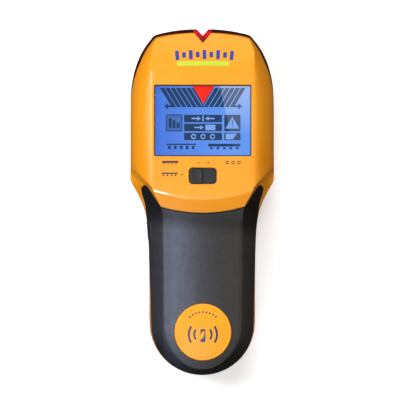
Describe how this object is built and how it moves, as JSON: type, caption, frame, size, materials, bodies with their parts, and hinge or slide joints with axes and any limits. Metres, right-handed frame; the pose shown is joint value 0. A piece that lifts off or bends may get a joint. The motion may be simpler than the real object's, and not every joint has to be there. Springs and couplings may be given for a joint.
{
  "type": "stud finder",
  "caption": "Handheld wall scanner: wide flat sensing head with a lit display and centre notch, a sliding mode switch, a rubber-gripped handle and a hinged battery door.",
  "frame": {"origin": "midway along the tool and across it, on the flat wall face of the head", "axes": "+X across the tool, +Y along the tool towards the nose, +Z out of the wall face towards the display"},
  "size_m": [0.0766, 0.1839, 0.0346],
  "materials": {
    "yellow_abs": "glossy moulded ABS",
    "badge_plastic": "glossy domed plastic",
    "grip_rubber": "satin soft-touch rubber",
    "lens_red": "glossy tinted lens",
    "window_clear": "clear, polished",
    "black_foam": "matt foam",
    "lcd_glass": "blue liquid crystal glass",
    "light_guide": "milky",
    "white_plastic": "matt",
    "zebra_rubber": "matt",
    "circuit_board": "solder mask",
    "copper": "bare copper",
    "black_plastic": "matt",
    "gold_contact": "plated",
    "slate_plastic": "satin",
    "bright_steel": "plated",
    "black_rubber": "satin",
    "led_red": "clear red",
    "capacitor_sleeve": "printed sleeve",
    "battery_sleeve": "painted",
    "wire_red": "PVC",
    "wire_black": "PVC",
    "screw_steel": "zinc plated"
  },
  "bodies": {
    "casing": {"front_housing": "yellow_abs", "rear_housing": "yellow_abs", "badge": "badge_plastic", "handle_grip": "grip_rubber", "nose_lens": "lens_red", "display_window": "window_clear", "window_gasket": "black_foam", "lcd_panel": "lcd_glass", "lcd_backlight": "light_guide", "lcd_holder": "white_plastic", "zebra_strips": "zebra_rubber", "main_board": "circuit_board", "sensor_board": "circuit_board", "sensor_plates": "copper", "metal_coil": "copper", "board_header": "black_plastic", "header_pins": "gold_contact", "mode_switch_body": "bright_steel", "tact_switch": "black_plastic", "buzzer": "black_plastic", "pointer_leds": "led_red", "microcontroller": "black_plastic", "sensor_chip": "black_plastic", "filter_capacitors": "capacitor_sleeve", "battery_case": "battery_sleeve", "battery_terminals": "bright_steel", "snap_holder": "black_plastic", "snap_contacts": "bright_steel", "lead_red": "wire_red", "lead_black": "wire_black", "housing_screws": "screw_steel", "board_screws": "screw_steel"},
    "mode_knob": {"mode_slider": "slate_plastic", "mode_switch_lever": "white_plastic"},
    "power_key": {"power_button": "black_rubber", "tact_plunger": "white_plastic"},
    "door": {"battery_door": "yellow_abs", "door_pad": "black_foam"}
  },
  "joints": [
    {"name": "mode_slide", "type": "slide", "parent": "casing", "child": "mode_knob", "axis": [1, 0, 0], "range_m": [0, 0.007]},
    {"name": "power_press", "type": "slide", "parent": "casing", "child": "power_key", "axis": [1, 0, 0], "range_m": [0, 0.0005], "stiffness_N_per_m": 2500},
    {"name": "battery_door_open", "type": "hinge", "parent": "casing", "child": "door", "pos_m": [0, -0.0272, 0.0063], "axis": [1, 0, 0], "range_deg": [0, 95]}
  ]
}
